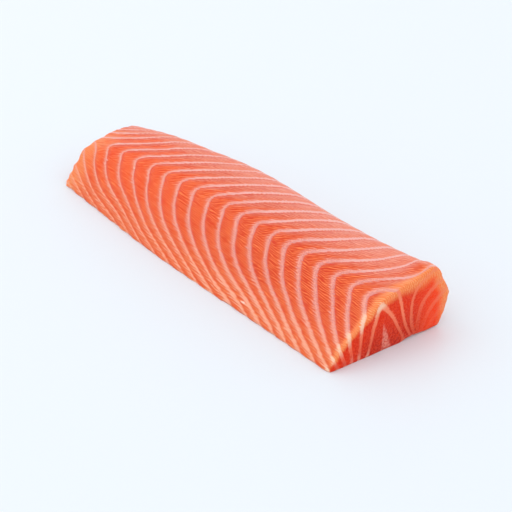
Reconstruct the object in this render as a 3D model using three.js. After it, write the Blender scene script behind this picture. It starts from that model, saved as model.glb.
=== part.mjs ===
// A skinned salmon loin: one thick strip of raw fish, cut square at both ends and lying flat.
// Millimetres. +X runs along the strip to the near cut, +Y to the steep side, +Z up.
// The origin is in the middle of the underside.
import * as THREE from 'three';

// Length of the strip, and the places along it where its cross-section is given.
const LENGTH = 252;
const HALF_LENGTH = LENGTH / 2;
const STATIONS = [-125, -85, -30, 50, 100, 125];

// The cross-section is a polygon with rounded corners. Each corner has its place across and up
// at the six stations, and the length of edge that its rounding takes up there on either side.
// steps is how finely the outline is divided from there to the middle of the next corner.
const CORNERS = {
  leftFoot: {
    across: [-35, -37.5, -40.5, -40.5, -40, -40],
    up: [0, 0, 0, 0, 0, 0],
    rounding: [2.3, 2.3, 2.3, 2.3, 2.3, 2.3],
    steps: 8,
  },
  rightFoot: {
    across: [20, 27, 32, 34, 34, 34.5],
    up: [0, 0, 0, 0, 0, 0],
    rounding: [3.7, 3.7, 3.7, 3.7, 3.7, 3.7],
    steps: 5,
  },
  bulge: {
    across: [24.5, 30, 36.5, 36.5, 40, 41.5],
    up: [11, 14, 16, 18.5, 18.5, 18.5],
    rounding: [8, 8, 8, 8, 7, 4],
    steps: 6,
  },
  shoulder: {
    across: [19.5, 22, 32.5, 32, 31.5, 30.5],
    up: [24, 30.5, 32.5, 32.5, 35, 37.8],
    rounding: [8, 8, 8, 8, 7, 3],
    steps: 9,
  },
  crown: {
    across: [3, 12.5, 6.5, 9.5, 17.5, 20],
    up: [26, 31.5, 34, 35, 34, 34],
    rounding: [13, 13, 13, 13, 13, 13],
    steps: 9,
  },
  ridge: {
    across: [-18.5, -13.5, -12.5, -11.5, -4.5, -2.5],
    up: [21, 26.5, 30.5, 31.5, 32, 32],
    rounding: [11, 11, 11, 11, 11, 11],
    steps: 11,
  },
  slope: {
    across: [-24, -26.5, -28.5, -28, -31.5, -32.5],
    up: [15.5, 14.5, 16, 15.5, 12, 11],
    rounding: [11, 11, 11, 11, 11, 11],
    steps: 12,
  },
};

// Rings along the strip, and rings from the rim of a cut end to its middle.
const RING_COUNT = 77;
const NEAR_RINGS = [0.972, 0.89, 0.79, 0.68, 0.57, 0.46, 0.35, 0.24, 0.12];
const FAR_RINGS = [0.965, 0.83, 0.62, 0.4, 0.2];

// The cut ends: the soft edge, how far the middle swells out, how much each flake swells there,
// and the line in the middle of the cut, by its half length, height and tilt.
const CUT_EDGE = 0.5;
const END_SWELL = 1;
const CUT_SWELL = 0.25;
const END_LINE_REACH = 15;
const END_LINE_UP = 14;
const END_LINE_TILT = 0.22;
const WALL_END = HALF_LENGTH - END_SWELL - CUT_EDGE;

// The near underside rises off the table in a low arch.
const LIFT = 1.5;
const LIFT_ACROSS = 17;
const LIFT_HALF_WIDTH = 11;
const LIFT_LENGTH = 22;
const LIFT_FADE_HEIGHT = 6;

// The fat sheets between the flakes are nested blunt cones that point to the far end.
// A sheet crosses the ridge line every 13.8 mm, a little closer towards the near end.
const SHEET_START = -126.7;
const SHEET_SPACING = 13.8;
const SHEET_CROWDING = 0.0026;
const SHEET_BOW = 0.0095;
const STRIP_HEIGHT = 31.5;
const CONE_ACROSS = -7.4;
const CONE_DRIFT = -4.9;
const CONE_BLUNTNESS = 9.1;
const FAR_FLARE = 3;
// On either flank a sheet trails back by a straight part, which fades with height, and a step.
const LEFT_FLANK = {
  lean: 0.39,
  leanFade: 0.73,
  step: 40.4,
  stepAt: 18.2,
  stepTilt: 0,
  width: 14,
  widthGrowth: 0.69,
};
const RIGHT_FLANK = {
  lean: 1.37,
  leanFade: 1.2,
  step: 23.6,
  stepAt: 27.7,
  stepTilt: 0.6,
  width: 3.2,
  widthGrowth: 0.75,
};
const FLANK_BLEND = 2;
// Towards the upper right of the near end the sheets sit a little further back.
const NEAR_SHIFT = 0.34;
const NEAR_SHIFT_FROM = new THREE.Vector3(50, 0, 22);
const NEAR_SHIFT_TO = new THREE.Vector3(126, 28, 34);

// The last flake on top stands proud of the one before it, towards the right of the near cut.
const PROUD_FLAKE = 0.6;
const PROUD_SHEET = 15;
const PROUD_EDGE = 0.3;
const PROUD_FROM = 4;
const PROUD_TO = 24;

// Each flake swells between its two sheets. The swelling fades where the number of sheets that
// one step of the mesh crosses comes near FINEST_FLAKE.
const FLAKE_SWELL = 0.6;
const FINEST_FLAKE = 0.55;

// The flakes step out at the rim of the far end, over the last stretch of the wall.
const FLAKE_STEP = 1.2;
const RIM_FADE = 5;
const STEP_REACH = 14;

// The whole surface rolls a little, in two crossing waves, each given by its length along and
// across the strip. The underside stays flat, and the relief grows over its first millimetres.
const ROLL = 0.3;
const LONG_ROLL = { along: 107, across: 182, shift: 0 };
const CROSS_ROLL = { along: 258, across: -82, shift: 1.3 };
const FLAT_BELOW = 0.4;
const RELIEF_GROWTH = 5;

// Smooth value along the strip, from its values at the stations.
function alongStrip(values) {
  const curve = new THREE.CubicInterpolant(STATIONS, values, 1, new Float32Array(1));
  return (x) => curve.evaluate(x)[0];
}

const cornerCurves = Object.values(CORNERS).map((corner) => ({
  ...corner,
  acrossAt: alongStrip(corner.across),
  upAt: alongStrip(corner.up),
  roundingAt: alongStrip(corner.rounding),
}));

// How far a flank of a sheet trails back at a distance from the cone's middle, at a height.
function flankTrail(flank, distance, height, flare) {
  const lean = (flank.lean - (flank.leanFade * height) / STRIP_HEIGHT) * flare;
  const straight = Math.hypot(distance, CONE_BLUNTNESS) - CONE_BLUNTNESS;
  const stepAt = flank.stepAt - flank.stepTilt * height;
  const width = flank.width + flank.widthGrowth * height;
  return lean * straight + flank.step * (1 + Math.tanh((distance - stepAt) / width));
}

// Part of a flake by which the sheets sit further back, at the upper right of the near end.
function nearShift(x, y, z) {
  const along = THREE.MathUtils.smoothstep(x, NEAR_SHIFT_FROM.x, NEAR_SHIFT_TO.x);
  const across = THREE.MathUtils.smoothstep(y, NEAR_SHIFT_FROM.y, NEAR_SHIFT_TO.y);
  const high = THREE.MathUtils.smoothstep(z, NEAR_SHIFT_FROM.z, NEAR_SHIFT_TO.z);
  return NEAR_SHIFT * along * across * high;
}

// Number of the fat sheet at a point: a whole number on a sheet, a fraction inside a flake.
function sheetNumber(x, y, z) {
  const farness = (HALF_LENGTH - x) / LENGTH;
  const across = y - CONE_ACROSS - CONE_DRIFT * farness;
  const flare = 1 + FAR_FLARE * farness;
  const left = flankTrail(LEFT_FLANK, -across, z, flare);
  const right = flankTrail(RIGHT_FLANK, across, z, flare);
  const rightShare = 1 / (1 + Math.exp(-across / FLANK_BLEND));
  const bow = -SHEET_BOW * z * (STRIP_HEIGHT - z);
  const trail = bow + left * (1 - rightShare) + right * rightShare;
  const count = (x - trail - SHEET_START) / SHEET_SPACING;
  return count * (1 + SHEET_CROWDING * count) + nearShift(x, y, z);
}

// A rounded corner of the outline, as the half before its middle and the half after.
function cornerHalves(before, corner, after, rounding) {
  const reach = Math.min(rounding, corner.distanceTo(before) / 2, corner.distanceTo(after) / 2);
  const start = before.clone().sub(corner).setLength(reach).add(corner);
  const end = after.clone().sub(corner).setLength(reach).add(corner);
  const startHandle = start.clone().lerp(corner, 0.5);
  const endHandle = end.clone().lerp(corner, 0.5);
  const middle = startHandle.clone().lerp(endHandle, 0.5);
  return {
    first: new THREE.QuadraticBezierCurve(start, startHandle, middle),
    second: new THREE.QuadraticBezierCurve(middle, endHandle, end),
  };
}

// Outline of the cross-section at x, anticlockwise seen from the near end, from the left foot.
function outline(x) {
  const places = cornerCurves.map((corner) => new THREE.Vector2(corner.acrossAt(x), corner.upAt(x)));
  const count = places.length;
  const halves = places.map((place, i) => {
    const before = places[(i + count - 1) % count];
    return cornerHalves(before, place, places[(i + 1) % count], cornerCurves[i].roundingAt(x));
  });
  return halves.flatMap((half, i) => {
    const next = halves[(i + 1) % count];
    const span = new THREE.CurvePath();
    span.add(half.second);
    span.add(new THREE.LineCurve(half.second.v2, next.first.v0));
    span.add(next.first);
    return span.getSpacedPoints(cornerCurves[i].steps).slice(0, -1);
  });
}

// Swelling of the flakes, from -0.5 on a sheet to 0.5 in the middle of a flake.
function flakeSwell(number, numberBefore, numberAfter) {
  const change = Math.max(Math.abs(number - numberBefore), Math.abs(numberAfter - number));
  const fade = Math.max(0, 1 - (change / FINEST_FLAKE) ** 2);
  return -0.5 * Math.cos(2 * Math.PI * number) * fade;
}

// Height of one wave of the surface.
function wave({ along, across, shift }, x, y) {
  return Math.sin(2 * Math.PI * (x / along + y / across) + shift);
}

// Slow rolls of the surface, from -1 to 1.
function roll(x, y) {
  return (wave(LONG_ROLL, x, y) + wave(CROSS_ROLL, x, y)) / 2;
}

// Rise of the last flake, past its own fat sheet and towards the right.
function proudFlake(number, x, y, z) {
  const past = THREE.MathUtils.smoothstep(number, PROUD_SHEET, PROUD_SHEET + PROUD_EDGE);
  const right = THREE.MathUtils.smoothstep(y, PROUD_FROM, PROUD_TO);
  const near = THREE.MathUtils.smoothstep(x, 0, HALF_LENGTH / 2);
  const high = THREE.MathUtils.smoothstep(z, END_LINE_UP, STRIP_HEIGHT);
  return PROUD_FLAKE * past * right * near * high;
}

// One ring of the side wall, with its relief pushed out square to the outline.
function wallRing(x) {
  const points = outline(x);
  const numbers = points.map((point) => sheetNumber(x, point.x, point.y));
  return points.map((point, i) => {
    const before = (i + points.length - 1) % points.length;
    const after = (i + 1) % points.length;
    const out = points[after].clone().sub(points[before]).normalize();
    out.set(out.y, -out.x);
    const swell = FLAKE_SWELL * flakeSwell(numbers[i], numbers[before], numbers[after]);
    const growth = THREE.MathUtils.smoothstep(point.y, FLAT_BELOW, FLAT_BELOW + RELIEF_GROWTH);
    const proud = proudFlake(numbers[i], x, point.x, point.y);
    const push = (swell + proud + ROLL * roll(x, point.x)) * growth;
    return new THREE.Vector3(x, point.x + out.x * push, Math.max(0, point.y + out.y * push));
  });
}

// The flakes step out one past the other at the rim of the far end.
function farStep(y, z) {
  const number = sheetNumber(-HALF_LENGTH, y, z);
  return FLAKE_STEP * (number - Math.floor(number)) ** 2;
}

// The near underside rises off the table in a low arch.
function nearLift(x, y, z) {
  const along = THREE.MathUtils.smoothstep(x, HALF_LENGTH - LIFT_LENGTH, HALF_LENGTH);
  const across = Math.max(0, 1 - ((y - LIFT_ACROSS) / LIFT_HALF_WIDTH) ** 2);
  return LIFT * along * across * Math.max(0, 1 - z / LIFT_FADE_HEIGHT);
}

// Bends a ring of the plain wall to the ends' true shape.
function bendRing(ring) {
  return ring.map((point) => {
    const farness = THREE.MathUtils.smoothstep(-point.x, HALF_LENGTH - STEP_REACH, HALF_LENGTH);
    const step = farness * farStep(point.y, point.z);
    const lift = nearLift(point.x, point.y, point.z);
    return new THREE.Vector3(point.x + step, point.y, point.z + lift);
  });
}

// The middle of a cut end is a short line; this is its point nearest to y.
function endMiddle(side, y) {
  const across = THREE.MathUtils.clamp(y, -END_LINE_REACH, END_LINE_REACH);
  const x = side * (HALF_LENGTH - END_SWELL);
  return new THREE.Vector3(x, across, END_LINE_UP + END_LINE_TILT * across);
}

// Rings of a cut end, from its soft edge to its middle. side is 1 at the near end, -1 at the
// far. The rim's own steps die out inwards, and the flakes swell a little in the cut.
function endRings(rim, scales, side) {
  return scales.map((scale) =>
    rim.map((point) => {
      const middle = endMiddle(side, point.y);
      const inner = middle.clone().lerp(point, scale);
      const number = sheetNumber(middle.x, inner.y, inner.z);
      const flake = CUT_SWELL * scale * Math.cos(2 * Math.PI * number);
      const swell = END_SWELL * (1 - scale * scale) - flake;
      const rimStep = point.x - side * WALL_END;
      inner.x = middle.x + side * swell + rimStep * scale ** RIM_FADE;
      return inner;
    }),
  );
}

// Two triangles for four corners of the skin, split along the fat sheet that runs through them.
function splitFace(points, a, b, c, d) {
  const [atA, atB, atC, atD] = [a, b, c, d].map((i) => sheetNumber(...points[i].toArray()));
  if (Math.abs(atA - atC) < Math.abs(atB - atD)) {
    return [a, b, c, a, c, d];
  }
  return [a, b, d, b, c, d];
}

// The whole skin: far end's middle, its rings, the side wall, the near rings and middle.
function loinGeometry() {
  const walls = [];
  for (let i = 0; i < RING_COUNT; i += 1) {
    walls.push(bendRing(wallRing(-WALL_END + (2 * WALL_END * i) / (RING_COUNT - 1))));
  }
  const farRings = endRings(walls[0], FAR_RINGS, -1).reverse();
  const nearRings = endRings(walls[RING_COUNT - 1], NEAR_RINGS, 1);
  const rings = [...farRings, ...walls, ...nearRings];
  const around = walls[0].length;
  const points = [endMiddle(-1, 0), ...rings.flat(), endMiddle(1, 0)];
  points[0].x -= END_SWELL;
  points[points.length - 1].x += END_SWELL;

  const faces = [];
  const at = (ring, i) => 1 + ring * around + (i % around);
  for (let i = 0; i < around; i += 1) {
    faces.push(0, at(0, i + 1), at(0, i));
    faces.push(points.length - 1, at(rings.length - 1, i), at(rings.length - 1, i + 1));
    for (let ring = 0; ring < rings.length - 1; ring += 1) {
      const corners = [at(ring, i), at(ring, i + 1), at(ring + 1, i + 1), at(ring + 1, i)];
      faces.push(...splitFace(points, ...corners));
    }
  }

  const geometry = new THREE.BufferGeometry().setFromPoints(points);
  geometry.setIndex(faces);
  geometry.computeBoundingBox();
  const centre = geometry.boundingBox.getCenter(new THREE.Vector3());
  geometry.translate(-centre.x, -centre.y, -geometry.boundingBox.min.z);
  geometry.computeVertexNormals();
  return geometry;
}

const salmon = new THREE.Mesh(
  loinGeometry(),
  new THREE.MeshStandardMaterial({ color: 0xf06a3e, roughness: 0.38, metalness: 0 }),
);
salmon.name = 'salmon_loin';

const group = new THREE.Group();
group.add(salmon);

export default group;
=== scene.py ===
"""A skinned salmon loin on a plain pale floor. Metres, +Z up, +X along the loin to the near cut."""

import math

import bpy
import numpy as np
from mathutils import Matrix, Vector, kdtree, noise


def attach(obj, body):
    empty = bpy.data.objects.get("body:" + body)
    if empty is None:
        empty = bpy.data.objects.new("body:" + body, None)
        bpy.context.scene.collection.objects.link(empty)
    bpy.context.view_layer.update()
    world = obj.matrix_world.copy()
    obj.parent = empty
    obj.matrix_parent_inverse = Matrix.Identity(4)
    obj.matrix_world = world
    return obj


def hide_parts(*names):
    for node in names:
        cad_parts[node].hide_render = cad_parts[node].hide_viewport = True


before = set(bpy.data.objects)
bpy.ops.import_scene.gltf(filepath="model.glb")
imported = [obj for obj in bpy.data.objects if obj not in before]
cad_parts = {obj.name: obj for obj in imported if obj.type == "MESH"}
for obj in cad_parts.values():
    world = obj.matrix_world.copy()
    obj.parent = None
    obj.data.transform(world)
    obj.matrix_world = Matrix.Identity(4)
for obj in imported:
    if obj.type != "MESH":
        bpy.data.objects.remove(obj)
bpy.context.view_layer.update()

# The camera
# It looks down on the loin from beyond the near cut, from about a metre, through a long lens.
# Azimuth 0 would look along +Y, and the elevation is above the floor. The lens is in millimetres.
AZIMUTH = math.radians(52.41)
ELEVATION = math.radians(29.93)
DISTANCE = 0.994
AIM = Vector((0.0618, -0.0368, 0.0377))
LENS = 136.9
SENSOR = 36

back = Vector(
    (
        math.sin(AZIMUTH) * math.cos(ELEVATION),
        -math.cos(AZIMUTH) * math.cos(ELEVATION),
        math.sin(ELEVATION),
    )
)
bpy.ops.object.camera_add(location=AIM + DISTANCE * back)
camera = bpy.context.active_object
camera.rotation_mode = "QUATERNION"
camera.rotation_quaternion = (-back).to_track_quat("-Z", "Y")
camera.data.lens = LENS
camera.data.sensor_width = SENSOR
bpy.context.scene.camera = camera

# The light
# A pale even studio, and one broad soft lamp that hangs behind the loin on its left.
# It brightens the top and the slope, and leaves the near cut and its foot in soft shade.
STUDIO_COLOUR = (0.97, 0.985, 1.0, 1)
STUDIO_STRENGTH = 1.1
LAMP_PLACE = Vector((-0.6, -0.5, 1.2))
LAMP_SIZE = 1.2
LAMP_POWER = 2
LAMP_COLOUR = (1.0, 0.98, 0.96)

studio = bpy.data.worlds.new("studio")
bpy.context.scene.world = studio
studio.use_nodes = True
studio.node_tree.nodes["Background"].inputs["Color"].default_value = STUDIO_COLOUR
studio.node_tree.nodes["Background"].inputs["Strength"].default_value = STUDIO_STRENGTH
bpy.context.scene.view_settings.view_transform = "Standard"

bpy.ops.object.light_add(type="AREA", location=LAMP_PLACE)
lamp = bpy.context.active_object
lamp.rotation_mode = "QUATERNION"
lamp.rotation_quaternion = (-LAMP_PLACE).to_track_quat("-Z", "Y")
lamp.data.size = LAMP_SIZE
lamp.data.energy = LAMP_POWER
lamp.data.color = LAMP_COLOUR

# The floor
# A wide sheet of glossy white acrylic that the loin lies on. It isn't part of the loin.
FLOOR_WIDTH = 8
FLOOR_COLOUR = (0.78, 0.83, 0.885, 1)
FLOOR_ROUGHNESS = 0.45

bpy.ops.object.select_all(action="DESELECT")
bpy.ops.mesh.primitive_plane_add(size=FLOOR_WIDTH)
floor = bpy.context.active_object
floor.name = "floor"
acrylic = bpy.data.materials.new("white acrylic")
acrylic.use_nodes = True
acrylic_shader = acrylic.node_tree.nodes["Principled BSDF"]
acrylic_shader.inputs["Base Color"].default_value = FLOOR_COLOUR
acrylic_shader.inputs["Roughness"].default_value = FLOOR_ROUGHNESS
floor.data.materials.append(acrylic)

# The loin's skin
# One thick strip of raw salmon, skinned and cut square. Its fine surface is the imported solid's,
# merged, remeshed into small even faces and smoothed, so that only its own edges stay sharp.
MM = 0.001
MERGE_WITHIN = 0.01 * MM
FACE_SIZE = 0.8 * MM
SMOOTHING = 0.5
SMOOTHING_ROUNDS = 5

bpy.ops.object.select_all(action="DESELECT")
loin = bpy.data.objects.new("salmon_flesh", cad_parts["salmon_loin"].data.copy())
bpy.context.scene.collection.objects.link(loin)
loin.select_set(True)
bpy.context.view_layer.objects.active = loin
bpy.ops.object.mode_set(mode="EDIT")
bpy.ops.mesh.select_all(action="SELECT")
bpy.ops.mesh.remove_doubles(threshold=MERGE_WITHIN)
bpy.ops.object.mode_set(mode="OBJECT")

remesh = loin.modifiers.new("fine skin", "REMESH")
remesh.mode = "VOXEL"
remesh.voxel_size = FACE_SIZE
bpy.ops.object.modifier_apply(modifier=remesh.name)
smooth = loin.modifiers.new("soft skin", "SMOOTH")
smooth.factor = SMOOTHING
smooth.iterations = SMOOTHING_ROUNDS
bpy.ops.object.modifier_apply(modifier=smooth.name)
bpy.ops.object.shade_smooth()

# The skin's points, in millimetres. x, y and z are views of places, so they move when it does.
mesh = loin.data
point_count = len(mesh.vertices)
places = np.empty(point_count * 3)
mesh.vertices.foreach_get("co", places)
places = places.reshape(-1, 3) / MM
x, y, z = places.T
normals = np.empty(point_count * 3)
mesh.vertices.foreach_get("normal", normals)
normals = normals.reshape(-1, 3)
facing_ends = np.abs(normals[:, 0])
facing_right = normals[:, 1]

# Each point's neighbours on the skin, to average a number over it.
edge_ends = np.empty(len(mesh.edges) * 2, dtype=np.int32)
mesh.edges.foreach_get("vertices", edge_ends)
first_ends, second_ends = edge_ends.reshape(-1, 2).T
neighbours = np.bincount(first_ends, minlength=point_count)
neighbours += np.bincount(second_ends, minlength=point_count)


def spread(values, rounds):
    """The values, averaged with their neighbours' a number of times."""
    for _ in range(rounds):
        sums = np.bincount(first_ends, values[second_ends], point_count)
        sums += np.bincount(second_ends, values[first_ends], point_count)
        values = (values + sums / neighbours) / 2
    return values


def smoothstep(values, start, end):
    """0 before start, 1 past end, and a smooth rise between them."""
    share = np.clip((values - start) / (end - start), 0, 1)
    return share * share * (3 - 2 * share)


def soft_noise(places, size, seed):
    """Smooth noise from -1 to 1 at each place, with bumps about as large as size."""
    shift = Vector((seed, 2 * seed, 3 * seed))
    return np.array([noise.noise(Vector(place) / size + shift) for place in places.tolist()])


# Where the loin is cut across, and how far each point is from the rim of the nearest cut. Here
# and below, a pair of numbers says where a change or a range starts and where it ends.
CUT_FACES = (0.6, 0.9)
CUT_ALONG = (118, 122)
RIM_FACES = (0.45, 0.85)
RIM_ALONG = 121
RIM_SEARCH_ALONG = 100
FAR_FROM_RIM = 30.0
cut = smoothstep(facing_ends, *CUT_FACES) * smoothstep(np.abs(x), *CUT_ALONG)
rim_faces = (facing_ends > RIM_FACES[0]) & (facing_ends < RIM_FACES[1])
rim_points = places[rim_faces & (np.abs(x) > RIM_ALONG)]
rim_tree = kdtree.KDTree(len(rim_points))
for index, rim_point in enumerate(rim_points.tolist()):
    rim_tree.insert(rim_point, index)
rim_tree.balance()
near_rim = np.abs(x) > RIM_SEARCH_ALONG
from_rim = np.full(point_count, FAR_FROM_RIM)
from_rim[near_rim] = [rim_tree.find(place)[2] for place in places[near_rim].tolist()]

# The fat sheets
# Thin sheets of white fat part the flesh into flakes. They are nested blunt cones that point
# to the far end, so they show as chevrons on the top and as arches on the cuts. A cone's flank
# trails back by a lean that fades with height, and by one soft step. In millimetres.
HALF_LENGTH = 126
CENTRING = np.array([0.0, 0.52, 0.0])
SHEET_START = -126.7
SHEET_SPACING = 13.8
SHEET_CROWDING = 0.0026
SHEET_BOW = 0.0095
STRIP_HEIGHT = 31.5
CONE_ACROSS = -7.4
CONE_DRIFT = -4.9
CONE_BLUNTNESS = 9.1
FAR_FLARE = 3
FLANK_BLEND = 2
LEFT_FLANK = {
    "lean": 0.39,
    "fade": 0.73,
    "step": 40.4,
    "at": 18.2,
    "tilt": 0,
    "width": 14,
    "growth": 0.69,
}
RIGHT_FLANK = {
    "lean": 1.37,
    "fade": 1.2,
    "step": 23.6,
    "at": 27.7,
    "tilt": 0.6,
    "width": 3.2,
    "growth": 0.75,
}
NEAR_SHIFT = 0.34
NEAR_SHIFT_ALONG = (50, HALF_LENGTH)
NEAR_SHIFT_ACROSS = (0, 28)
NEAR_SHIFT_UP = (22, 34)


def flank_trail(flank, distance, height, flare):
    """How far a flank of a sheet trails back, at a distance from the cone's middle."""
    lean = (flank["lean"] - flank["fade"] * height / STRIP_HEIGHT) * flare
    straight = np.hypot(distance, CONE_BLUNTNESS) - CONE_BLUNTNESS
    step_at = flank["at"] - flank["tilt"] * height
    width = flank["width"] + flank["growth"] * height
    return lean * straight + flank["step"] * (1 + np.tanh((distance - step_at) / width))


def sheet_number(places):
    """A whole number on a fat sheet and a fraction inside a flake, growing to the near end."""
    x, y, z = (places + CENTRING).T
    farness = (HALF_LENGTH - x) / (2 * HALF_LENGTH)
    across = y - CONE_ACROSS - CONE_DRIFT * farness
    flare = 1 + FAR_FLARE * farness
    left = flank_trail(LEFT_FLANK, -across, z, flare)
    right = flank_trail(RIGHT_FLANK, across, z, flare)
    right_share = 1 / (1 + np.exp(-across / FLANK_BLEND))
    bow = -SHEET_BOW * z * (STRIP_HEIGHT - z)
    trail = bow + left * (1 - right_share) + right * right_share
    count = (x - trail - SHEET_START) / SHEET_SPACING
    near_shift = NEAR_SHIFT * smoothstep(x, *NEAR_SHIFT_ALONG)
    near_shift *= smoothstep(y, *NEAR_SHIFT_ACROSS)
    near_shift *= smoothstep(z, *NEAR_SHIFT_UP)
    return count * (1 + SHEET_CROWDING * count) + near_shift


# The sheets turn in a soft bend over the ridge, but keep their kink at the rims of the cuts.
# Each wavers a little. They sit closer together at the far left, and a few soft pulls draw them
# to where the real loin's are. A pull is its middle, its reach and its share of a flake.
BEND_ROUNDS = 90
BEND_FROM_RIM = (1, 8)
BEND_UP = (6, 14)
WAVER = 0.05
WAVER_SIZE = 9
FINE_WAVER = 0.02
FINE_WAVER_SIZE = 3
FAR_SHIFT = 0.2
FAR_SHIFT_ALONG = (-HALF_LENGTH, -60)
FAR_LEFT_SHIFT = 0.5
FAR_LEFT_ALONG = (-HALF_LENGTH, -92)
FAR_LEFT_ACROSS = (2, 24)
PULLS = [
    ((68, -39, 3), 20, 0.38),
    ((44, -38, 4), 15, 0.3),
    ((-68, -36, 5), 18, 0.4),
    ((-115, -17, 22), 20, -0.15),
    ((30, 21, 34), 45, -0.2),
    ((33, 3, 34), 15, 0.18),
    ((118, 3, 33), 10, -0.22),
    ((100, 25, 35), 14, 0.2),
    ((126, 18, 14), 14, 0.42),
    ((102, -22, 19), 15, 0.15),
    ((126, -30, 4), 15, -0.12),
]
sheet = sheet_number(places)
bend = spread(sheet, BEND_ROUNDS) - sheet
sheet += bend * smoothstep(from_rim, *BEND_FROM_RIM) * smoothstep(z, *BEND_UP)
waver = WAVER * soft_noise(places, WAVER_SIZE, seed=1)
waver += FINE_WAVER * soft_noise(places, FINE_WAVER_SIZE, seed=2)
sheet += waver
sheet -= FAR_SHIFT * (1 - smoothstep(x, *FAR_SHIFT_ALONG))
far_left_shift = FAR_LEFT_SHIFT * (1 - smoothstep(x, *FAR_LEFT_ALONG))
sheet -= far_left_shift * smoothstep(-y, *FAR_LEFT_ACROSS)
for pull_place, pull_reach, pull in PULLS:
    from_pull = places - np.array(pull_place)
    sheet -= pull * np.exp(-(from_pull**2).sum(1) / pull_reach**2)

# Width of a flake at each point, measured along the surface from sheet to sheet.
PROBE = 0.05
FEWEST_PER_MM = 0.02
MOST_PER_MM = 2
WIDTH_ROUNDS = 20
slopes = np.stack(
    [
        (sheet_number(places + PROBE * axis) - sheet_number(places - PROBE * axis)) / (2 * PROBE)
        for axis in np.eye(3)
    ],
    axis=1,
)
slopes -= (slopes * normals).sum(1)[:, None] * normals
sheets_per_mm = np.clip(np.linalg.norm(slopes, axis=1), FEWEST_PER_MM, MOST_PER_MM)
flake_width = spread(1 / sheets_per_mm, WIDTH_ROUNDS)
from_sheet = (np.mod(sheet + 0.5, 1) - 0.5) * flake_width

# Relief: each sheet stands up as a low rib with a fine crease on its near side.
RIB = 0.12
RIB_WIDTH = 1.0
CREASE = 0.22
CREASE_AT = 1.5
CREASE_WIDTH = 0.7
CREASE_CUT_LOSS = 0.6
GRAIN = 0.06
GRAIN_SIZE = 1.6
GRAIN_SQUEEZE = np.array([0.4, 1, 1])
OFF_FLOOR_UP = (0.3, 3)
rib = RIB * np.exp(-((from_sheet / RIB_WIDTH) ** 2))
crease = CREASE * np.exp(-(((from_sheet - CREASE_AT) / CREASE_WIDTH) ** 2))
crease *= 1 - CREASE_CUT_LOSS * cut
grain = GRAIN * soft_noise(places * GRAIN_SQUEEZE, GRAIN_SIZE, seed=3)

# Small torn flecks of fat stand up from the sheets in a few places, each given by its middle
# and its half length. They lie along the strip, a quarter as wide as long and a third as high.
FLECKS = [
    ((51.0, -36.9, 4.9), 2.4),
    ((47.5, -36.2, 6.4), 1.4),
    ((-101.5, -19.4, 20.8), 1.3),
    ((-78.4, -16.3, 24.1), 1.5),
]
FLECK_TAPER = np.array([1, 4, 3])
FLECK_HEIGHT = 0.5
FLECK_TATTER = 0.7
FLECK_TATTER_SIZE = 1.1
fleck = np.zeros(point_count)
for fleck_place, fleck_size in FLECKS:
    from_fleck = (places - np.array(fleck_place)) * FLECK_TAPER / fleck_size
    fleck = np.maximum(fleck, np.exp(-(from_fleck**2).sum(1)))
fleck *= 1 + FLECK_TATTER * soft_noise(places, FLECK_TATTER_SIZE, seed=6)
relief = (rib - crease + grain) * smoothstep(z, *OFF_FLOOR_UP) + FLECK_HEIGHT * fleck

# The foot of each flake bulges out past the sheets along the thin left edge.
FOOT_BULGE = 0.3
FOOT_UP = (2, 9)
FOOT_ACROSS = (20, 30)
foot = (1 - smoothstep(z, *FOOT_UP)) * smoothstep(-y, *FOOT_ACROSS) * (1 - cut)
places[:, 1] -= FOOT_BULGE * foot * np.sin(np.pi * sheet) ** 2
places += normals * relief[:, None]

# The soft lower edge settles on the floor.
SETTLES = 0.7
SETTLES_BELOW = 4
settling = SETTLES * (1 - smoothstep(z, 0, SETTLES_BELOW))
places[:, 2] = np.maximum(z - settling, 0)
mesh.vertices.foreach_set("co", (places * MM).ravel())
mesh.update()

# Regions of the loin that the finish tells apart, each 1 inside and 0 outside.
NEARNESS_ALONG = (-110, 70)
NEAR_END_ALONG = (0, 20)
RIGHT_ACROSS = (-8, 18)
LEFT_ACROSS = (5, 15)
LOW_UP = (3, 20)
STEEP_FACES = (0.45, 0.8)
TOP_FACES = (-0.32, -0.08)
RIDGE_UPPER_FACES = (0.0, 0.2)
RIDGE_LOWER_FACES = (0.4, 0.6)
nearness = smoothstep(x, *NEARNESS_ALONG)
near_end = smoothstep(x, *NEAR_END_ALONG)
near_cut = cut * near_end
right_side = smoothstep(y, *RIGHT_ACROSS)
left_side = smoothstep(-y, *LEFT_ACROSS)
low = 1 - smoothstep(z, *LOW_UP)
steep = smoothstep(facing_right, *STEEP_FACES)
facing_up = smoothstep(facing_right, *TOP_FACES) * (1 - steep)
ridge = smoothstep(-facing_right, *RIDGE_UPPER_FACES)
ridge *= 1 - smoothstep(-facing_right, *RIDGE_LOWER_FACES)

# Half the width of the fat that shows. It is widest on the near slope, and it frays into drips
# at the near foot.
FAT_WIDTH = 0.68
FAT_NEAR_GAIN = 0.42
FAT_RIGHT_LOSS = 0.2
FAT_STEEP_LOSS = 0.3
FAT_FOOT_LOSS = 0.5
FAT_FOOT_NEAR_GAIN = 0.7
FAT_FOOT_NEAR_ALONG = (0, 50)
DRIPS = 0.7
DRIP_SIZE = 2.5
DRIP_STRETCH = np.array([1, 0.4, 0.4])
CUT_FAT_WIDTH = 0.85
CUT_FAT_GAIN = 0.35
CUT_FAT_ACROSS = (8, 26)
drip_noise = soft_noise(places * DRIP_STRETCH, DRIP_SIZE, seed=4)
drips = 1 + DRIPS * drip_noise * near_end * low * left_side
foot_loss = FAT_FOOT_LOSS * low * left_side
foot_loss *= 1 - FAT_FOOT_NEAR_GAIN * smoothstep(x, *FAT_FOOT_NEAR_ALONG)
side_fat_width = (FAT_WIDTH + FAT_NEAR_GAIN * nearness) * (1 - FAT_RIGHT_LOSS * right_side)
side_fat_width = side_fat_width * (1 - foot_loss) * drips
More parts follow.
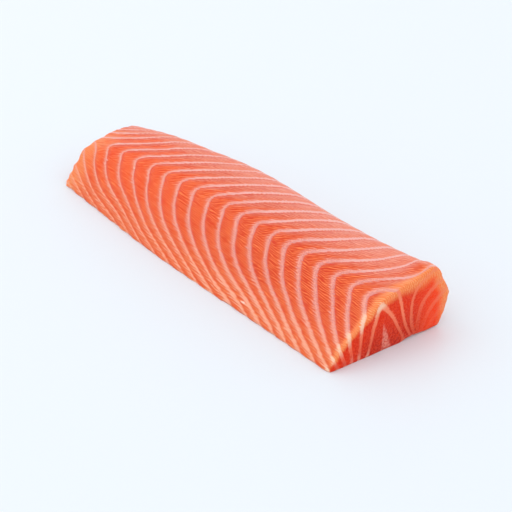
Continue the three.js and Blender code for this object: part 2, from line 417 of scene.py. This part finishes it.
cut_fat_width = CUT_FAT_WIDTH + CUT_FAT_GAIN * smoothstep(y, *CUT_FAT_ACROSS)
fat_width = side_fat_width * (1 - cut) + cut_fat_width * cut
fat_width *= 1 - FAT_STEEP_LOSS * steep

# Dull dots in the fat of the near slope, fainter by the rim of the cut.
STIPPLE_RIGHT_LOSS = 0.7
STIPPLE_AT_RIM = 0.4
STIPPLE_FROM_RIM = (4, 18)
stipple = nearness * (1 - STIPPLE_RIGHT_LOSS * right_side) * (1 - low) * (1 - cut)
stipple *= STIPPLE_AT_RIM + (1 - STIPPLE_AT_RIM) * smoothstep(from_rim, *STIPPLE_FROM_RIM)

# The top has a painted sheen that pales it to the right, sooner at the far end and from further
# left at the near end.
SHEEN_REACH = 30
SHEEN_FAR_LOSS = 14
SHEEN_FAR_ALONG = (20, 120)
SHEEN_NEAR_START = -6
SHEEN_NEAR_ALONG = (10, 90)
sheen_from = SHEEN_NEAR_START * smoothstep(x, *SHEEN_NEAR_ALONG)
sheen_to = sheen_from + SHEEN_REACH - SHEEN_FAR_LOSS * smoothstep(-x, *SHEEN_FAR_ALONG)
painted_sheen = facing_up * smoothstep(y, sheen_from, sheen_to) * (1 - cut)

# The rims of the near cut get a painted glow of light shining through, most of all about its apex
# and at its upper right, and so does its right edge. So do the last thin flakes at the far left.
APEX_ACROSS = 2
APEX_WIDTH = 15
RIM_REACH = 3.5
APEX_REACH = 3.5
UPPER_RIGHT_REACH = 6.5
RIM_REACH_CUT_LOSS = 1.5
UPPER_RIGHT_ACROSS = (2, 22)
UPPER_RIGHT_UP = (10, 24)
FULL_GLOW_SHARE = 0.2
GLOW_FROM = 2.5
GLOW_LIFT = 5
GLOW_LIFT_ACROSS = (-32, -20)
GLOW_RISE = 4
RIGHT_GLOW_ACROSS = (30, 38)
PAINTED_FAR_GLOW = 0.8
FAR_GLOW_ALONG = (104, 125)
FAR_GLOW_ACROSS = (-12, 14)
FAR_GLOW_CUT_LOSS = 0.9
apex = np.exp(-(((y - APEX_ACROSS) / APEX_WIDTH) ** 2))
upper_right = smoothstep(y, *UPPER_RIGHT_ACROSS) * smoothstep(z, *UPPER_RIGHT_UP)
rim_reach = RIM_REACH + APEX_REACH * apex
rim_reach += cut * (UPPER_RIGHT_REACH * upper_right - RIM_REACH_CUT_LOSS)
painted_rim_glow = (1 - smoothstep(from_rim, FULL_GLOW_SHARE * rim_reach, rim_reach)) * near_end
glow_from = GLOW_FROM + GLOW_LIFT * smoothstep(y, *GLOW_LIFT_ACROSS)
painted_rim_glow *= smoothstep(z, glow_from, glow_from + GLOW_RISE)
painted_right_glow = near_cut * smoothstep(y, *RIGHT_GLOW_ACROSS)
painted_far_glow = PAINTED_FAR_GLOW * smoothstep(-x, *FAR_GLOW_ALONG) * smoothstep(-y, *FAR_GLOW_ACROSS)
painted_far_glow *= 1 - FAR_GLOW_CUT_LOSS * cut
painted_glow = np.clip(np.maximum(painted_rim_glow, np.maximum(painted_far_glow, painted_right_glow)), 0, 1)

# White knots, where the sheets run over the left rim of the near cut.
KNOT_FROM_RIM = (1.2, 5)
KNOT_ACROSS = (-2, 6)
knot = (1 - smoothstep(from_rim, *KNOT_FROM_RIM)) * near_end * smoothstep(-y, *KNOT_ACROSS)

# The cuts are painted with shade, deepest red low down and in the middle, and the near one with
# light, brightest at the right.
SHADE_UP = (0, 24)
SHADE_MIDDLE = 2
SHADE_ACROSS = (12, 34)
PAINTED_LIGHT_ACROSS = (12, 32)
cut_painted_shade = cut * (1 - smoothstep(z, *SHADE_UP))
cut_painted_shade *= 1 - smoothstep(np.abs(y - SHADE_MIDDLE), *SHADE_ACROSS)
cut_painted_light = near_cut * smoothstep(y, *PAINTED_LIGHT_ACROSS)

# The core of the cones is a flame of fat on the near cut, with a straight left edge and a
# ragged right one.
CORE_TIP = 16.2
CORE_TIP_WIDTH = 0.4
CORE_LEFT = -5.4
CORE_SPREAD = 0.36
CORE_RAGS = 0.8
CORE_RAG_SIZE = 1.5
CORE_LEFT_BLUR = 0.3
CORE_BLUR = 0.5
ragged = CORE_RAGS * soft_noise(places, CORE_RAG_SIZE, seed=5)
core_right = CORE_LEFT + CORE_TIP_WIDTH + CORE_SPREAD * (CORE_TIP - z) + ragged
core_fat = smoothstep(y, CORE_LEFT - CORE_LEFT_BLUR, CORE_LEFT + CORE_LEFT_BLUR)
core_fat *= smoothstep(core_right - y, -CORE_BLUR, CORE_BLUR)
core_fat *= near_cut * smoothstep(CORE_TIP + CORE_BLUR - z, 0, 2 * CORE_BLUR)

# The sheets end at the core. On the cuts they fade low down, at the right and in the left corner.
LAST_SHEET = 18.5
LAST_SHEET_BLUR = 0.2
FADE_UP = (4, 24)
FADE_RIGHT_ACROSS = (3, 20)
LOW_FADE = 0.6
RIGHT_FADE = 0.5
LOW_RIGHT_FADE = 0.4
CORNER_FADE = 0.7
CORNER_UP = (2, 8)
CORNER_ACROSS = (20, 30)
fade_low = 1 - smoothstep(z, *FADE_UP)
fade_right = smoothstep(y, *FADE_RIGHT_ACROSS) * (RIGHT_FADE + LOW_RIGHT_FADE * fade_low)
fade_corner = CORNER_FADE * cut * (1 - smoothstep(z, *CORNER_UP))
fade_corner *= smoothstep(-y, *CORNER_ACROSS)
sheet_shows = 1 - smoothstep(sheet, LAST_SHEET, LAST_SHEET + LAST_SHEET_BLUR)
sheet_shows *= 1 - cut * np.maximum(LOW_FADE * fade_low, fade_right)
sheet_shows *= 1 - fade_corner


def store(name, values):
    """Keeps a number for each point of the skin, for the finish to read."""
    attribute = mesh.attributes.new(name, "FLOAT", "POINT")
    attribute.data.foreach_set("value", values.astype(np.float32))


store("sheet", sheet)
store("flake_width", flake_width)
store("fat_width", fat_width)
store("sheet_shows", sheet_shows)
store("cut", cut)
store("facing_up", facing_up)
store("ridge", ridge)
store("low", low * left_side)
store("painted_sheen", painted_sheen)
store("stipple", stipple)
store("nearness", nearness)
store("painted_glow", painted_glow)
store("knot", knot)
store("cut_painted_shade", cut_painted_shade)
store("cut_painted_light", cut_painted_light)
store("core_fat", core_fat)
store("fleck", fleck)

# The flesh's finish
# Wet raw flesh: orange-red muscle in fine strands that run from sheet to sheet, and pale pink
# fat. Light sinks in a little, and the thin rims of the cuts get a painted yellow-orange glow of
# light shining through. The strands of a region run from its deep colour to its light one.
FAR_DEEP = (0.83, 0.055, 0.002, 1)
FAR_LIGHT = (1.0, 0.21, 0.05, 1)
SLOPE_DEEP = (0.69, 0.036, 0.001, 1)
SLOPE_LIGHT = (0.98, 0.235, 0.062, 1)
LOW_DEEP = (0.83, 0.082, 0.002, 1)
LOW_LIGHT = (1.0, 0.31, 0.09, 1)
# The top's flesh is pinker, partly its own tone and partly a painted sheen.
TOP_SHEEN_DEEP = (0.66, 0.052, 0.006, 1)
TOP_SHEEN_LIGHT = (0.92, 0.30, 0.18, 1)
# The pink of the painted sheen on the top.
PALE_SHEEN = (0.92, 0.36, 0.26, 1)
HALO = (0.82, 0.19, 0.09, 1)
# Painted shade in the crease on the near side of each sheet.
PAINTED_CREASE_SHADE = (0.73, 0.085, 0.04, 1)
CUT_FLESH = (0.75, 0.025, 0.001, 1)
# Painted shade, low down and in the middle of the cuts.
CUT_PAINTED_SHADE = (0.52, 0.014, 0.002, 1)
# Painted light at the right of the near cut.
CUT_PAINTED_LIGHT = (1.0, 0.052, 0.003, 1)
CUT_SPECK = (0.94, 0.09, 0.025, 1)
# The colours of the painted glow of light shining through the rims.
PAINTED_RIM_GLOW = (0.98, 0.27, 0.075, 1)
PAINTED_RIM_GLOW_LIGHT = (0.98, 0.39, 0.155, 1)
FAT_LEFT = (0.90, 0.38, 0.29, 1)
# The fat's near side, in painted shade beside the raised rib.
FAT_SHADED_SIDE = (0.80, 0.29, 0.25, 1)
FAT_LOW = (0.95, 0.40, 0.26, 1)
FAT_ON_TOP_SHEEN = (0.87, 0.44, 0.40, 1)
FAT_STIPPLE = (0.72, 0.23, 0.21, 1)
FAT_ON_CUT = (0.95, 0.24, 0.125, 1)
KNOT_WHITE = (0.98, 0.60, 0.43, 1)
FLECK_WHITE = (0.97, 0.66, 0.56, 1)

flesh = bpy.data.materials.new("raw salmon")
flesh.use_nodes = True
tree = flesh.node_tree
shader = tree.nodes["Principled BSDF"]


def plug(node, values):
    """Feeds a node's inputs, by their number, with values or other nodes' outputs."""
    for number, value in values.items():
        if isinstance(value, bpy.types.NodeSocket):
            tree.links.new(value, node.inputs[number])
        else:
            node.inputs[number].default_value = value


def maths(operation, *values):
    """A sum of one, two or three numbers."""
    node = tree.nodes.new("ShaderNodeMath")
    node.operation = operation
    plug(node, dict(enumerate(values)))
    return node.outputs[0]


def rise(value, start, end, low=0.0, high=1.0):
    """A smooth rise from low to high as the value goes from start to end."""
    node = tree.nodes.new("ShaderNodeMapRange")
    node.interpolation_type = "SMOOTHSTEP"
    plug(node, {0: value, 1: start, 2: end, 3: low, 4: high})
    return node.outputs[0]


def between(share, low, high):
    """A smooth rise from low to high as the share goes from 0 to 1."""
    return rise(share, 0, 1, low, high)


def blend_colours(share, first, second):
    """The first colour at share 0, the second at share 1."""
    node = tree.nodes.new("ShaderNodeMix")
    node.data_type = "RGBA"
    plug(node, {0: share, 6: first, 7: second})
    return node.outputs[2]


def blend_numbers(share, first, second):
    """The first number at share 0, the second at share 1."""
    node = tree.nodes.new("ShaderNodeMix")
    plug(node, {0: share, 2: first, 3: second})
    return node.outputs[0]


def grain_noise(vector, scale, detail):
    """Cloudy noise from 0 to 1."""
    node = tree.nodes.new("ShaderNodeTexNoise")
    plug(node, {0: vector, 2: scale, 3: detail})
    return node.outputs[0]


def kept(name):
    """A number that is kept for each point of the skin."""
    node = tree.nodes.new("ShaderNodeAttribute")
    node.attribute_name = name
    return node.outputs["Fac"]


def in_vector(operation, *values):
    """A sum of two vectors."""
    node = tree.nodes.new("ShaderNodeVectorMath")
    node.operation = operation
    plug(node, dict(enumerate(values)))
    return node.outputs[0]


def dot(vector, direction):
    """How far a vector reaches along a direction."""
    node = tree.nodes.new("ShaderNodeVectorMath")
    node.operation = "DOT_PRODUCT"
    plug(node, {0: vector, 1: tuple(direction)})
    return node.outputs["Value"]


def as_vector(*values):
    """Three numbers as one vector."""
    node = tree.nodes.new("ShaderNodeCombineXYZ")
    plug(node, dict(enumerate(values)))
    return node.outputs[0]


object_place = tree.nodes.new("ShaderNodeTexCoord").outputs["Object"]
place_mm = in_vector("MULTIPLY", object_place, (1 / MM,) * 3)
sheet_value = kept("sheet")
cut_value = kept("cut")
up_value = kept("facing_up")
low_value = kept("low")

# Strands: thin light streaks that wander and fade in and out, squeezed across their direction.
# Each flake has its own, because its number moves the pattern sideways by these jumps.
STRAND_SPACING = 1.1
STRAND_WANDER = 2.2
STRAND_ACROSS = 1.1
STRAND_ALONG = 0.26
STRAND_EDGES = (-0.25, 0.9)
WANDER_SCALE = 0.35
GAP_SCALE = 0.8
GAPS = (0.28, 0.55)
STRAND_IN_GAP = 0.15
FLAKE_JUMP_ACROSS = 17.3
FLAKE_JUMP_UP = 5.1
flake_index = maths("FLOOR", sheet_value)
flake_jump = as_vector(
    0.0,
    maths("MULTIPLY", flake_index, FLAKE_JUMP_ACROSS),
    maths("MULTIPLY", flake_index, FLAKE_JUMP_UP),
)


def strand_pattern(direction, across):
    """Thin light strands along a direction, which wander, fade in and out, and part at a sheet."""
    along = maths("MULTIPLY", dot(place_mm, direction), STRAND_ACROSS - STRAND_ALONG)
    squeeze = in_vector("MULTIPLY", as_vector(along, along, along), tuple(direction))
    even = in_vector("MULTIPLY", place_mm, (STRAND_ACROSS,) * 3)
    squeezed = in_vector("ADD", in_vector("SUBTRACT", even, squeeze), flake_jump)
    wide = in_vector("MULTIPLY", squeezed, (WANDER_SCALE,) * 3)
    wander = maths("MULTIPLY", grain_noise(wide, scale=1.0, detail=1.0), STRAND_WANDER)
    turns = maths("ADD", maths("DIVIDE", dot(place_mm, across), STRAND_SPACING), wander)
    ripple = maths("SINE", maths("MULTIPLY", turns, 2 * math.pi))
    shows = rise(grain_noise(squeezed, GAP_SCALE, detail=1.0), *GAPS, low=STRAND_IN_GAP)
    return maths("MULTIPLY", rise(ripple, *STRAND_EDGES), shows)


# They lean to the right on the top, more so along the ridge, and run straight on the slope. The
# cut shows their ends as specks.
TOP_STRANDS = Vector((1, 0.29, 0)).normalized()
TOP_ACROSS = Vector((-0.29, 1, 0)).normalized()
RIDGE_STRANDS = Vector((1, 0.6, 0.2)).normalized()
RIDGE_ACROSS = Vector((-0.6, 0.95, 0.35)).normalized()
SLOPE_STRANDS = Vector((1, -0.04, -0.04)).normalized()
SLOPE_ACROSS = Vector((0.05, 0.67, 0.74)).normalized()
SPECK_SCALE = 1.0
SPECKS = (0.42, 0.62)
slope_streak = strand_pattern(SLOPE_STRANDS, SLOPE_ACROSS)
streak = blend_numbers(up_value, slope_streak, strand_pattern(TOP_STRANDS, TOP_ACROSS))
streak = blend_numbers(kept("ridge"), streak, strand_pattern(RIDGE_STRANDS, RIDGE_ACROSS))
speck = rise(grain_noise(place_mm, SPECK_SCALE, detail=2.5), *SPECKS)
strands = blend_numbers(cut_value, streak, speck)

# Distance from the middle of the nearest sheet, in millimetres. Its edges fray, more so on the
# far side, where the strands fade into the sheet, and less on the top and the cuts.
FRAY_SIDES = (-0.5, 0.5)
FAR_SIDE_FRAY = 2.1
NEAR_SIDE_FRAY = 1.1
FRAY_LEVEL = 0.4
SLOPE_FRAY = 0.7
CUT_FRAY = 0.25
TOP_FRAY = 0.7
FAT_FAR_EDGE = (-1.7, -0.6)
FAT_NEAR_EDGE = (1.35, 0.7)
centred = maths("SUBTRACT", maths("FRACT", maths("ADD", sheet_value, 0.5)), 0.5)
smooth_distance = maths("MULTIPLY", centred, kept("flake_width"))
fray_reach = rise(smooth_distance, *FRAY_SIDES, low=FAR_SIDE_FRAY, high=NEAR_SIDE_FRAY)
fray = maths("MULTIPLY", maths("SUBTRACT", strands, FRAY_LEVEL), fray_reach)
fray = maths("MULTIPLY", fray, between(cut_value, SLOPE_FRAY, CUT_FRAY))
fray = maths("MULTIPLY", fray, between(up_value, 1.0, TOP_FRAY))
distance = maths("ADD", smooth_distance, fray)
in_widths = maths("DIVIDE", distance, kept("fat_width"))
fat = maths("MULTIPLY", rise(in_widths, *FAT_FAR_EDGE), rise(in_widths, *FAT_NEAR_EDGE))
fat = maths("MULTIPLY", fat, kept("sheet_shows"))

# Flesh: strands light and dark, and paler towards the next sheet, with a painted sheen on the top.
# A soft halo lies on the far side of each sheet, and a red crease of painted shade on its near
# side.
STREAK_TONE = 0.9
NEXT_SHEET_TONE = 0.2
NEXT_SHEET_FROM = 0.3
MOTTLE = 0.06
MOTTLE_SCALE = 0.09
MOTTLE_EDGES = (0.35, 0.65)
SHEEN_DEEP_SHARE = 0.4
HALO_SHARE = 0.6
HALO_FAR_EDGE = (-3.8, -0.9)
HALO_NEAR_EDGE = (0.8, 0.2)
CREASE_SHADE_SHARE = 0.4
CREASE_SHADE_FAR_EDGE = (0.5, 1.2)
CREASE_SHADE_NEAR_EDGE = (3.6, 1.6)
cloud = grain_noise(place_mm, MOTTLE_SCALE, detail=2.0)
mottle = rise(cloud, *MOTTLE_EDGES, low=-MOTTLE, high=MOTTLE)
next_sheet = rise(maths("FRACT", sheet_value), NEXT_SHEET_FROM, 1.0, high=NEXT_SHEET_TONE)
tone = maths("ADD", maths("MULTIPLY", streak, STREAK_TONE), next_sheet)
tone = maths("ADD", tone, mottle)
muscle = blend_colours(tone, SLOPE_DEEP, SLOPE_LIGHT)
muscle = blend_colours(kept("nearness"), blend_colours(tone, FAR_DEEP, FAR_LIGHT), muscle)
muscle = blend_colours(low_value, muscle, blend_colours(tone, LOW_DEEP, LOW_LIGHT))
# Upward faces take the top's colours, pinker partly as a painted sheen.
muscle = blend_colours(up_value, muscle, blend_colours(tone, TOP_SHEEN_DEEP, TOP_SHEEN_LIGHT))
# A painted sheen pales the top towards its right.
sheen_share = maths("MULTIPLY", kept("painted_sheen"), between(streak, SHEEN_DEEP_SHARE, 1.0))
muscle = blend_colours(sheen_share, muscle, PALE_SHEEN)
halo = maths("MULTIPLY", rise(distance, *HALO_FAR_EDGE), rise(distance, *HALO_NEAR_EDGE))
muscle = blend_colours(maths("MULTIPLY", halo, HALO_SHARE), muscle, HALO)
crease_shade = maths("MULTIPLY", rise(in_widths, *CREASE_SHADE_FAR_EDGE), rise(distance, *CREASE_SHADE_NEAR_EDGE))
muscle = blend_colours(maths("MULTIPLY", crease_shade, CREASE_SHADE_SHARE), muscle, PAINTED_CREASE_SHADE)

# The cut: speckled with the ends of the strands. The painted glow lies over it and over the skin.
SPECK_SHARE = 0.45
GLOW_DEEP_SHARE = 0.75
# Painted shade low on the cuts, and painted light at the near cut's right.
cut_muscle = blend_colours(kept("cut_painted_shade"), CUT_FLESH, CUT_PAINTED_SHADE)
cut_muscle = blend_colours(kept("cut_painted_light"), cut_muscle, CUT_PAINTED_LIGHT)
cut_muscle = blend_colours(maths("MULTIPLY", speck, SPECK_SHARE), cut_muscle, CUT_SPECK)
muscle = blend_colours(cut_value, muscle, cut_muscle)
painted_glow_share = maths("MULTIPLY", kept("painted_glow"), between(streak, GLOW_DEEP_SHARE, 1.0))
muscle = blend_colours(painted_glow_share, muscle, blend_colours(streak, PAINTED_RIM_GLOW, PAINTED_RIM_GLOW_LIGHT))

# Fat: white-pink on its far side and greyer on the other, a painted shade beside the raised rib,
# with fine dull dots on the near slope. It is peach at the foot, pink on the top, partly a painted
# sheen, and whitest in the knots and the flecks.
DOT_SCALE = 1.5
DOTS = (0.48, 0.62)
FAT_SIDES = (-0.4, 0.8)
CORE_SCALE = 0.9
CORE_EDGES = (0.4, 0.65)
CORE_MOST = 0.65
CORE_LEAST = 0.15
FLECK_EDGES = (0.35, 0.7)
dots = rise(grain_noise(place_mm, DOT_SCALE, detail=1.0), *DOTS)
fat_colour = blend_colours(rise(in_widths, *FAT_SIDES), FAT_LEFT, FAT_SHADED_SIDE)
fat_colour = blend_colours(maths("MULTIPLY", dots, kept("stipple")), fat_colour, FAT_STIPPLE)
fat_colour = blend_colours(low_value, fat_colour, FAT_LOW)
fat_colour = blend_colours(up_value, fat_colour, FAT_ON_TOP_SHEEN)
fat_colour = blend_colours(cut_value, fat_colour, FAT_ON_CUT)
fat_colour = blend_colours(kept("knot"), fat_colour, KNOT_WHITE)
colour = blend_colours(fat, muscle, fat_colour)
core_cloud = grain_noise(place_mm, CORE_SCALE, detail=2.0)
core_mottle = rise(core_cloud, *CORE_EDGES, low=CORE_MOST, high=CORE_LEAST)
colour = blend_colours(maths("MULTIPLY", kept("core_fat"), core_mottle), colour, FAT_LEFT)
colour = blend_colours(rise(kept("fleck"), *FLECK_EDGES), colour, FLECK_WHITE)
tree.links.new(colour, shader.inputs["Base Color"])

# Wet gloss, less of it on the cuts, and light that sinks in.
STRAND_BUMP = 0.6
STRAND_HEIGHT = 0.2 * MM
WET_ROUGHNESS = 0.36
WET_IOR = 1.35
SKIN_GLOSS = 0.42
CUT_GLOSS = 0.25
SINKING_SHARE = 0.15
SINKING_BY_COLOUR = (1.0, 0.3, 0.12)
SINKING_DEPTH = 0.8 * MM
bump = tree.nodes.new("ShaderNodeBump")
bump.inputs["Strength"].default_value = STRAND_BUMP
bump.inputs["Distance"].default_value = STRAND_HEIGHT
tree.links.new(strands, bump.inputs["Height"])
tree.links.new(bump.outputs["Normal"], shader.inputs["Normal"])
tree.links.new(between(cut_value, SKIN_GLOSS, CUT_GLOSS), shader.inputs["Specular IOR Level"])
shader.inputs["Roughness"].default_value = WET_ROUGHNESS
shader.inputs["IOR"].default_value = WET_IOR
shader.inputs["Subsurface Weight"].default_value = SINKING_SHARE
shader.inputs["Subsurface Radius"].default_value = SINKING_BY_COLOUR
shader.inputs["Subsurface Scale"].default_value = SINKING_DEPTH

mesh.materials.clear()
mesh.materials.append(flesh)
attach(loin, "root")
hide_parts("salmon_loin")
